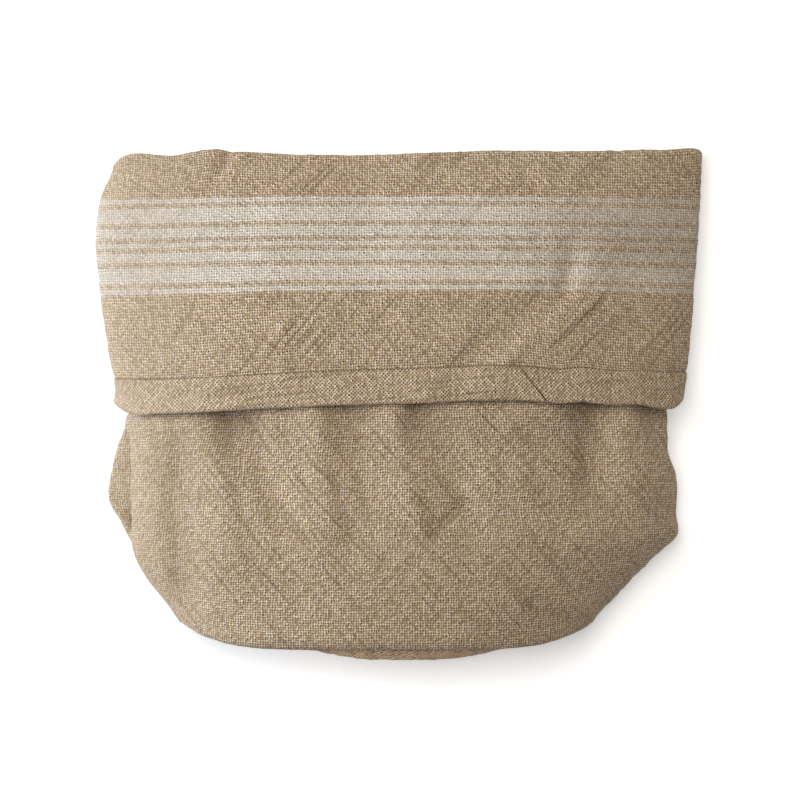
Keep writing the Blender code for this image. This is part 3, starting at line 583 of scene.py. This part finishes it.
def tapeRows():
    near = binding["near"]
    edge, edgeOut = tapeOn[-1], tapeOut[-1]
    away = edge - tapeOn[-2]
    away /= np.linalg.norm(away, axis=1, keepdims=True)
    width, far = binding["width"], near + binding["leaf"]
    rows = [tapeOn[k] + tapeOut[k] * (near + swell[k])[:, None] for k in range(boundRows)]
    for angle in tapeTurn:
        outerReach = near + swell[-1] * (1 + math.cos(angle)) / 2 + binding["leaf"] * (1 - math.cos(angle)) / 2
        rows.append(edge + outerReach[:, None] * (edgeOut * math.cos(angle) + away * math.sin(angle)))
    rows += [tapeOn[k] - tapeOut[k] * (near + binding["leaf"] * shape[k]) for k in range(boundRows)[::-1]]
    rows += [tapeOn[k] - tapeOut[k] * near for k in range(boundRows)]
    rows += [edge + near * (edgeOut * math.cos(angle) + away * math.sin(angle)) for angle in tapeTurn[::-1]]
    rows += [tapeOn[k] + tapeOut[k] * near for k in range(boundRows)[::-1]]
    # how far across the tape each row is: the outer faces, and the inner ones on the way back
    across = [share * width for share in tapeShare] + [width + far * angle for angle in tapeTurn]
    across += [width * (2 - share) + far * math.pi for share in tapeShare[::-1]]
    return np.array(rows), np.array(across + across[::-1])


tape, tapeAcross = tapeRows()
leafRows = list(range(boundRows))
rowOf = (leafRows + [boundRows - 1] * len(tapeTurn) + leafRows[::-1]) * 2
tapeUv = np.stack([tapeU[rowOf], np.repeat(tapeAcross[:, None], tapeU.shape[1], axis=1)], axis=2) / 1000
# painted shade in the join's slit, stored with the rest of the tape's painted shade
slitShade = binding["slitShade"] * slitGrows * slitProfile
slitShade = np.concatenate([slitShade, np.zeros((len(tape) - boundRows, slitShade.shape[1]))])
edgeBinding = makeShell("edgeBinding", tape, tapeUv, tucked=slitShade, closed=closedAt(tape[..., 0]))
facesOut(edgeBinding)
print("linen bag: binding has", len(edgeBinding.data.polygons) * 2, "triangles")

print("linen bag: setting in the base")


def baseRings():
    flange = wallRings[:3] + base["inset"] * wallOut[:3]
    rim = flange[0]
    back = flange[2] - rim
    back = back / np.linalg.norm(back, axis=1, keepdims=True) * base["flange"]
    middle = (rim.max(axis=0) + rim.min(axis=0)) / 2
    halfWidth = np.ptp(rim[:, 0]) / 2
    rings = [rim + back, rim + back * 0.5]
    for share in 1 - np.linspace(0, 1, base["rings"] + 1)[:-1] ** base["ringCrowding"]:
        ring = middle + (rim - middle) * share
        across = (ring[:, 0] - middle[0]) / halfWidth
        bulge = base["bulge"] * np.exp(-(((ring[:, 0] - base["bulgeAt"]) / base["bulgeHalf"]) ** 4))
        tuckHeight = middle[2] - base["tuckTilt"] * across
        tuck = np.exp(-(((ring[:, 2] - tuckHeight) / base["tuckHalfHeight"]) ** 2)) * np.maximum(1 - across**2, 0)
        deep = rim[:, 1] * share**2 + rim[:, 1].min() * (1 - share**2)
        tucking = base["tuck"] * tuck * ease((1 - share) / base["tuckOver"])
        ring[:, 1] = deep - bulge * (1 - share ** base["bulgeFrom"]) + tucking
        rings.append(ring)
    return np.array(rings)


baseMid = baseRings()
baseOut = normalsOf(baseMid)
baseLift = np.stack([puckerAt(ring, *base["puckers"]) for ring in baseMid])
baseLift[:4] = 0
baseMid -= baseOut * baseLift[..., None]
baseOut = normalsOf(baseMid)
baseHalf = base["thickness"] / 2
baseRows = np.concatenate([(baseMid + baseOut * baseHalf)[::-1], baseMid - baseOut * baseHalf])
closedMid = np.concatenate([baseMid, baseMid[:, :1]], axis=1)
radius = np.cumsum(np.linalg.norm(np.diff(closedMid[::-1], axis=0, prepend=closedMid[-1:]), axis=2), axis=0)[::-1]
rimX, rimZ = closedMid[0, :, 0], closedMid[0, :, 2]
bearing = np.arctan2(rimZ - rimZ.mean(), (rimX - rimX.mean()) * base["rimSquash"])
baseUv = np.stack([radius * np.cos(bearing), radius * np.sin(bearing)], axis=2) / 1000
basePanel = makeShell("basePanel", baseRows, np.concatenate([baseUv[::-1], baseUv]), closedEnds=False,
                      closed=np.full(baseRows.shape[:2], base["closed"]))


def closeEnd(piece, starts, around):  # a fan closes the small hole in the middle of the base
    shell = bmesh.new()
    shell.from_mesh(piece.data)
    layer = shell.loops.layers.uv["cloth"]
    shell.verts.ensure_lookup_table()
    ends = [[shell.verts[start + k] for k in range(around)] for start in starts]
    for ring in ends:
        hub = shell.verts.new(sum((v.co for v in ring), Vector()) / around)
        for k in range(around):
            face = shell.faces.new([ring[k], ring[(k + 1) % around], hub])
            face.smooth = True
            for loop in face.loops:
                loop[layer].uv = (0.0, 0.0)
    bmesh.ops.recalc_face_normals(shell, faces=shell.faces)
    shell.to_mesh(piece.data)
    shell.free()


aroundBase = baseRows.shape[1]
closeEnd(basePanel, [0, (len(baseRows) - 1) * aroundBase], aroundBase)
print("linen bag: base has", len(basePanel.data.polygons) * 2, "triangles")

print("linen bag: weaving the linen")


def linear(hexColour):
    parts = [int(hexColour[k:k + 2], 16) / 255 for k in (1, 3, 5)]
    return [c / 12.92 if c <= 0.04045 else ((c + 0.055) / 1.055) ** 2.4 for c in parts] + [1.0]


linen = {
    # undyed flax, from its darkest runs of fibre to its palest, and the tone each stands for
    "dark": "#B59D80",
    "middle": "#D1BBA1",
    "pale": "#E2D2BC",
    "tones": (0.34, 0.47, 0.66),
    "whiteDark": "#D6CEC1",  # half-bleached weft of the band
    "whitePale": "#EAE4DB",
    "wornShare": 0.62,  # what is left of the white where it is worn
    # how bright the white stays where it is greyed as painted shade
    "wornGrey": 0.90,
    "fluff": 0.55,  # the fluffier white yarn closes its holes a little
    "hole": "#38210F",  # the painted shade between four threads
    "holeFrom": 0.04,
    "holeFull": 0.40,
    "holeLeast": 0.58,  # how dark the most closed hole is, to the most open one
    "warpGap": 0.10,  # the painted shade between two threads of the warp
    "closedTone": 0.58,  # tone of closed cloth, which lacks the pale tops of open threads
    "tucked": "#4A3018",  # the painted shade in a fold
    "tint": 0.05,  # how far the colour changes from one crossing to the next
    "warpHalf": 0.39,  # half a thread's width, as a share of the pitch
    "weftHalf": 0.41,
    "uneven": 0.20,  # how much the threads vary in width
    "threadHeight": 0.30,  # mm
    "fibreHeight": 0.10,
    # how much each thread's drift, the fibres, flecks and each crossing's own chance count in the tone
    "driftTone": 0.22,
    "fibreTone": 0.32,
    "fleckTone": 0.08,
    "ownTone": 0.36,
    # threads wander every 2.4 mm, and sweep aside over 33 mm: cells to a metre, detail, metres across and along
    "wander": [(420.0, 2.0, (0.0014, 0.0011, 0.0)), (30.0, 1.0, (0.0016, 0.0008, 0.0))],
    # cells of noise to a metre of cloth
    "fibreScale": 1500.0,  # bundles of 0.7 mm, ten times as coarse as flax has, to show at all
    "fleckScale": 420.0,
    "cloudScale": 70.0,  # clouds of 14 mm
    "cloud": (0.91, 1.07),
    "patchScale": 38.0,  # patches of 26 mm with more or fewer puckers
    "edgeScale": 60.0,
    "paintedEdgeShade": (0.0002, 0.0009),  # metres from the tape's edge, over which its line of painted shade fades
    # the finest diagonal puckers: slant on the cloth in degrees, seed, share, length in metres
    "puckers": [(-47.0, 1.0, 0.6, 0.020), (49.0, 2.0, 1.6, 0.050)],
    "puckerWidth": 0.0018,
    "puckerHeight": 0.36,  # mm
    "lineShade": 0.48,  # how much painted shade a pucker's groove takes
    "linesOnBand": 0.25,
    "linesOnFlank": 0.2,
    # the painted shade in a pucker's groove
    "groove": "#5E4A34",
    "roughness": 0.88,
    "sheen": 0.15,
    "sheenTint": "#E8C9A2",
}


def weaveLinen(name, turn=0.0, banded=False, paintedEdgeShade=False, paintedBrightness=1.0, paintedCast=(1.0, 1.0, 1.0)):
    # plain-woven, stone-washed flax: matt, with round threads, painted shade in its gaps, uneven runs of fibre and
    # a faint bloom; turn lays the threads across the piece; the last two brighten and warm it as painted bounce
    # light
    material = bpy.data.materials.new(name)
    material.use_nodes = True
    tree = material.node_tree
    tree.nodes.clear()

    def addNode(kind, inputs=(), operation=None, out=0, **settings):  # one node with its settings and links
        node = tree.nodes.new("ShaderNode" + kind)
        if operation:
            node.operation = operation
        for key, value in settings.items():
            setattr(node, key, value)
        for key, value in inputs.items() if isinstance(inputs, dict) else enumerate(inputs):
            if isinstance(value, bpy.types.NodeSocket):
                tree.links.new(value, node.inputs[key])
            elif value is not None:
                node.inputs[key].default_value = value
        return node.outputs[out]

    pitch = (weave["warpPitch"] / 1000, weave["weftPitch"] / 1000, 1.0)
    straight = addNode("UVMap", uv_map="cloth")
    cloth = addNode("Mapping", [straight, None, (0.0, 0.0, turn)])
    placed = cloth  # but the threads wander a little off their straight run
    for scale, detail, reach in linen["wander"]:
        off = addNode("TexNoise", {"Vector": cloth, "Scale": scale, "Detail": detail}, out=1)
        off = addNode("VectorMath", [off, (0.5, 0.5, 0.5)], "SUBTRACT")
        placed = addNode("VectorMath", [off, reach, placed], "MULTIPLY_ADD")
    threads = addNode("VectorMath", [placed, pitch], "DIVIDE")
    cell = addNode("VectorMath", [threads], "FLOOR")
    across = addNode("VectorMath", [threads], "FRACTION")
    across = addNode("VectorMath", [across, (0.5, 0.5, 0.0)], "SUBTRACT")
    # x belongs to the warp and y to the weft: each rises where the other dives
    order = addNode("VectorMath", [cell, (math.pi, math.pi, 0.0)], "MULTIPLY")
    order = addNode("VectorMath", [order], "COSINE")
    wave = addNode("VectorMath", [threads, (math.pi, math.pi, 0.0)], "MULTIPLY")
    wave = addNode("VectorMath", [wave], "SINE")
    wave = addNode("VectorMath", [wave, (0.0, 0.0, 1.0)], "CROSS_PRODUCT")
    rise = addNode("VectorMath", [order, wave], "MULTIPLY")
    rise = addNode("VectorMath", [rise, (0.45, 0.45, 0.0), (0.55, 0.55, 0.0)], "MULTIPLY_ADD")
    # each thread has its own thickness and tone, and both drift along it
    tones = []
    for own, drift, layer in (((1.7, 0, 0), (0, 0.42, 0), 3.0), ((0, 1.7, 0), (0.42, 0, 0), 8.0)):
        run = addNode("VectorMath", [cell, own, (layer, layer, layer)], "MULTIPLY_ADD")
        run = addNode("VectorMath", [threads, drift, run], "MULTIPLY_ADD")
        tones.append(addNode("TexNoise", {"Vector": run, "Scale": 1.0, "Detail": 2.0, "Roughness": 0.6}))
    thickness = addNode("CombineXYZ", tones)
    uneven = linen["uneven"]
    half = (linen["warpHalf"] - uneven / 2, linen["weftHalf"] - uneven / 2, 1.0)
    thickness = addNode("VectorMath", [thickness, (uneven, uneven, 0.0), half], "MULTIPLY_ADD")
    bulge = addNode("VectorMath", [across, thickness], "DIVIDE")
    bulge = addNode("VectorMath", [bulge, bulge], "MULTIPLY")
    bulge = addNode("VectorMath", [(1.0, 1.0, 0.0), bulge], "SUBTRACT")
    bulge = addNode("VectorMath", [bulge, (0.0, 0.0, 0.0)], "MAXIMUM")
    surface = addNode("VectorMath", [bulge, rise], "MULTIPLY")
    warpTop = addNode("SeparateXYZ", [surface])
    weftTop = addNode("SeparateXYZ", [surface], out=1)
    height = addNode("Math", [warpTop, weftTop], "MAXIMUM")
    warpShows = addNode("Math", [warpTop, weftTop], "SUBTRACT")
    warpShows = addNode("MapRange", [warpShows, -0.06, 0.06], interpolation_type="SMOOTHSTEP")
    # fibre runs and flecks
    fibre = addNode("TexNoise", {"Vector": placed, "Scale": linen["fibreScale"], "Detail": 2.0})
    tonesMixed = addNode("Mix", {0: warpShows, 2: tones[1], 3: tones[0]})
    fleck = addNode("TexNoise", {"Vector": placed, "Scale": linen["fleckScale"], "Detail": 3.0,
                                 "Roughness": 0.7})
    own = addNode("TexWhiteNoise", [cell])
    ownTint = addNode("TexWhiteNoise", [cell], out=1)
    toneAt = 0.0
    for part, counts in ((tonesMixed, "driftTone"), (fibre, "fibreTone"), (fleck, "fleckTone"), (own, "ownTone")):
        toneAt = addNode("Math", [part, linen[counts], toneAt], "MULTIPLY_ADD")
    # the weave is closed up and its tones evened towards the flanks and over the base
    closed = addNode("Attribute", attribute_name="closed", out=2)
    toneAt = addNode("Mix", {0: closed, 2: toneAt, 3: 0.50})
    flax = tree.nodes.new("ShaderNodeValToRGB")
    stops = flax.color_ramp.elements
    stops[0].position, stops[0].color = linen["tones"][0], linear(linen["dark"])
    stops[1].position, stops[1].color = linen["tones"][2], linear(linen["pale"])
    stops.new(linen["tones"][1]).color = linear(linen["middle"])
    tree.links.new(toneAt, flax.inputs[0])
    colour = flax.outputs[0]
    if banded:
        threadV = addNode("SeparateXYZ", [cell], out=1)
        middleThread = round(bandV / weave["weftPitch"])
        fromMiddle = addNode("Math", [threadV, middleThread - 0.5], "SUBTRACT")
        fromMiddle = addNode("Math", [fromMiddle], "ABSOLUTE")
        fromMiddle = addNode("Math", [fromMiddle, weave["bandReach"]], "DIVIDE")
        band = tree.nodes.new("ShaderNodeValToRGB")
        band.color_ramp.interpolation = "CONSTANT"
        stops = band.color_ramp.elements
        stops[0].color = (1, 1, 1, 1)
        stops[1].position, stops[1].color = weave["bandHalf"] / weave["bandReach"], (0, 0, 0, 1)
        for threadCount, shade in weave["stripes"]:
            stops.new(threadCount / weave["bandReach"]).color = (shade, shade, shade, 1)
        tree.links.new(fromMiddle, band.inputs[0])
        weftShows = addNode("MapRange", [warpShows, 0.0, 1.0, 1.0, 0.90])
        whiteShare = addNode("Math", [band.outputs[0], weftShows], "MULTIPLY")
        worn = addNode("Attribute", attribute_name="worn", out=2)
        thinned = addNode("MapRange", [worn, 0.0, 1.0, 1.0, linen["wornShare"]])
        whiteShare = addNode("Math", [whiteShare, thinned], "MULTIPLY")
        white = addNode("MapRange", [toneAt, 0.36, 0.58])
        white = addNode("Mix", {0: white, 6: linear(linen["whiteDark"]), 7: linear(linen["whitePale"])},
                        out=2, data_type="RGBA")
        # the white greyed as painted shade, where the band is worn and shaded
        paintedWhiteShade = addNode("MapRange", [worn, 0.0, 1.0, 1.0, linen["wornGrey"]])
        white = addNode("VectorMath", {0: white, "Scale": paintedWhiteShade}, "SCALE")
        colour = addNode("Mix", {0: whiteShare, 6: colour, 7: white}, out=2, data_type="RGBA")
    cloud = addNode("TexNoise", {"Vector": cloth, "Scale": linen["cloudScale"], "Detail": 4.0,
                                 "Roughness": 0.7})
    # times how far the piece is brightened as painted bounce light, and warmed by its cast below
    cloud = addNode("MapRange", [cloud, 0.25, 0.75, linen["cloud"][0] * paintedBrightness, linen["cloud"][1] * paintedBrightness])
    low = tuple(part - linen["tint"] / 2 for part in paintedCast)
    tint = addNode("VectorMath", [ownTint, (linen["tint"],) * 3, low], "MULTIPLY_ADD")
    colour = addNode("VectorMath", [colour, tint], "MULTIPLY")
    colour = addNode("VectorMath", {0: colour, "Scale": cloud}, "SCALE")
    # painted shade where four threads leave a hole, more or less open, and fainter between threads of the warp
    bare = addNode("VectorMath", [(1.0, 1.0, 1.0), bulge], "SUBTRACT")
    bareX = addNode("SeparateXYZ", [bare])
    bareY = addNode("SeparateXYZ", [bare], out=1)
    bareBoth = addNode("Math", [bareX, bareY], "MULTIPLY")
    bareBoth = addNode("Math", [bareX, linen["warpGap"], bareBoth], "MULTIPLY_ADD")
    corner = addNode("VectorMath", [threads, (0.5, 0.5, 0.0)], "ADD")
    corner = addNode("VectorMath", [corner], "FLOOR")
    corner = addNode("TexWhiteNoise", [corner])
    corner = addNode("MapRange", [corner, 0.0, 1.0, linen["holeLeast"], 1.0])
    cover = addNode("MapRange", [bareBoth, linen["holeFrom"], linen["holeFull"]],
                    interpolation_type="SMOOTHSTEP")
    cover = addNode("Math", [cover, corner], "MULTIPLY")
    even = addNode("MapRange", [closed, 0.0, 1.0, 1.0, linen["closedTone"]])
    colour = addNode("VectorMath", {0: colour, "Scale": even}, "SCALE")
    closed = addNode("Math", [1.0, closed], "SUBTRACT")
    cover = addNode("Math", [cover, closed], "MULTIPLY")
    cover = addNode("Math", [1.0, cover], "SUBTRACT")
    if banded:
        fluff = addNode("MapRange", [band.outputs[0], 0.0, 1.0, 1.0, linen["fluff"]])
        cover = addNode("Math", [cover, fluff], "POWER")
    colour = addNode("Mix", {0: cover, 6: linear(linen["hole"]), 7: colour}, out=2, data_type="RGBA")
    # painted shade where the cloth is tucked away, and along the tape's stitched edge
    tucked = addNode("Attribute", attribute_name="tucked", out=2)
    tucked = addNode("Math", [1.0, tucked], "SUBTRACT")
    # a line of painted shade along the tape's stitched upper edge
    if paintedEdgeShade:
        acrossTape = addNode("SeparateXYZ", [straight], out=1)
        edgeDepth = addNode("TexNoise", {"Vector": straight, "Scale": linen["edgeScale"]})
        edgeDepth = addNode("MapRange", [edgeDepth, 0.35, 0.65, 0.30, 0.60])
        edge = addNode("MapRange", [acrossTape, *linen["paintedEdgeShade"], edgeDepth, 1.0])
        tucked = addNode("Math", [tucked, edge], "MULTIPLY")
    shade = addNode("Mix", {0: tucked, 6: linear(linen["tucked"]), 7: (1.0, 1.0, 1.0, 1.0)},
                    out=2, data_type="RGBA")
    colour = addNode("Mix", {0: 1.0, 6: colour, 7: shade}, out=2, data_type="RGBA", blend_type="MULTIPLY")
    relief = addNode("Math", [height, linen["threadHeight"]], "MULTIPLY")
    relief = addNode("Math", [fibre, linen["fibreHeight"], relief], "MULTIPLY_ADD")
    # the finest diagonal puckers, too small for the mesh, with painted shade in their grooves
    lineShare = addNode("MapRange", [closed, 0.70, 1.0, linen["linesOnFlank"] * linen["lineShade"],
                                     linen["lineShade"]])
    if banded:
        clear = addNode("MapRange", [fromMiddle, 0.85, 1.15, linen["linesOnBand"], 1.0])
        lineShare = addNode("Math", [lineShare, clear], "MULTIPLY")
    for slant, seed, share, length in linen["puckers"]:
        ridge = addNode("Mapping", [cloth, (seed, 0.0, 0.0), (0.0, 0.0, math.radians(slant)),
                                    (length, linen["puckerWidth"], 1.0)], vector_type="TEXTURE")
        ridge = addNode("TexNoise", {"Vector": ridge, "Scale": 1.0, "Detail": 0.5})
        patch = addNode("Mapping", [cloth, (seed, 3.0, 0.0)])
        patch = addNode("TexNoise", {"Vector": patch, "Scale": linen["patchScale"], "Detail": 1.0})
        patch = addNode("MapRange", [patch, 0.30, 0.75, 0.1, 2 * share * linen["puckerHeight"]])
        relief = addNode("Math", [ridge, patch, relief], "MULTIPLY_ADD")
        line = addNode("MapRange", [ridge, 0.34, 0.47, 1.0, 0.0])  # painted shade in the grooves between the ridges
        line = addNode("Math", [line, patch], "MULTIPLY")
        line = addNode("Math", [line, lineShare], "MULTIPLY")
        colour = addNode("Mix", {0: line, 6: colour, 7: linear(linen["groove"])}, out=2, data_type="RGBA")
    bump = addNode("Bump", {"Distance": 0.001, "Height": relief})
    shader = addNode("BsdfPrincipled", {
        "Base Color": colour, "Normal": bump, "Roughness": linen["roughness"], "IOR": 1.5,
        "Specular IOR Level": 0.1, "Sheen Weight": linen["sheen"], "Sheen Roughness": 0.5,
        "Sheen Tint": linear(linen["sheenTint"]),
    })
    tree.links.new(shader, tree.nodes.new("ShaderNodeOutputMaterial").inputs[0])
    return material


bagCloth.data.materials.append(weaveLinen("stonewashedLinenWithBand", banded=True))
edgeBinding.data.materials.append(weaveLinen("linenTapeCutOnTheBias", turn=math.radians(45), paintedEdgeShade=True))
# the base is brighter and warmer as painted bounce light from the floor below it
basePanel.data.materials.append(
    weaveLinen("linenBaseOnTheCross", turn=math.radians(38), paintedBrightness=1.18, paintedCast=(1.0, 0.93, 0.84)))

for piece, node, slot in ((bagCloth, "bag_cloth", "washed_linen"), (edgeBinding, "edge_binding", "bias_tape"),
                          (basePanel, "base_panel", "base_linen")):
    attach(piece, "root")
    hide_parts(node)

print("linen bag: surface, light and camera")
stage = {
    "floor": "#F8FAFE",
    "floorSize": 6.0,  # metres
    "floorRoughness": 0.8,
    "below": 0.0002,  # the floor lies this far under the bag
    "glow": 0.38,  # so that the floor stays near white
    "glowColour": (0.99, 1.0, 1.015, 1.0),
    "aim": (0.0, 0.0, 0.02),  # where the lamps point
    "skyColour": (1.0, 0.97, 0.94, 1.0),
    "sky": 0.06,
    "frameWidth": 0.400,  # what the camera takes in, at planeHeight
    "planeHeight": 0.02,
    "cameraHeight": 4.0,
    "cameraForward": 1.25,  # mm
    "sensor": 36.0,
}
bpy.ops.object.select_all(action="DESELECT")
bpy.ops.mesh.primitive_plane_add(size=stage["floorSize"], location=(0, 0, -stage["below"]))
floor = bpy.context.object
floor.name = "paleFloor"
floorMaterial = bpy.data.materials.new("mattWhiteSurface")
floorMaterial.use_nodes = True
floorShader = floorMaterial.node_tree.nodes["Principled BSDF"].inputs
floorShader["Base Color"].default_value = linear(stage["floor"])
floorShader["Roughness"].default_value = stage["floorRoughness"]
floorShader["Emission Color"].default_value = stage["glowColour"]
floorShader["Emission Strength"].default_value = stage["glow"]
floor.data.materials.append(floorMaterial)

lights = {
    "leftWindow": {"at": (-1.54, 0.08, 0.38), "size": 0.9, "watts": 23.3, "colour": (0.905, 1.0, 1.12)},
    "topBox": {"at": (-0.24, 0.44, 1.64), "size": 1.4, "watts": 27.6, "colour": (1.0, 0.945, 0.85)},
}
for name, facts in lights.items():
    lamp = bpy.data.objects.new(name, bpy.data.lights.new(name, "AREA"))
    lamp.data.size = facts["size"]
    lamp.data.energy = facts["watts"]
    lamp.data.color = facts["colour"]
    lamp.location = facts["at"]
    lamp.rotation_euler = (Vector(stage["aim"]) - Vector(facts["at"])).to_track_quat("-Z", "Y").to_euler()
    addToScene(lamp)
studio = bpy.data.worlds.new("softStudio")
bpy.context.scene.world = studio
studio.use_nodes = True
sky = studio.node_tree.nodes["Background"].inputs
sky["Color"].default_value = stage["skyColour"]
sky["Strength"].default_value = stage["sky"]
bpy.context.scene.view_settings.view_transform = "Standard"

camera = bpy.data.objects.new("packshot", bpy.data.cameras.new("packshot"))
addToScene(camera)
camera.location = (cadShift[0] / 1000, (cadShift[1] + stage["cameraForward"]) / 1000, stage["cameraHeight"])
camera.data.sensor_width = stage["sensor"]
camera.data.lens = stage["sensor"] * (stage["cameraHeight"] - stage["planeHeight"]) / stage["frameWidth"]
camera.data.clip_end = 20.0
bpy.context.scene.camera = camera
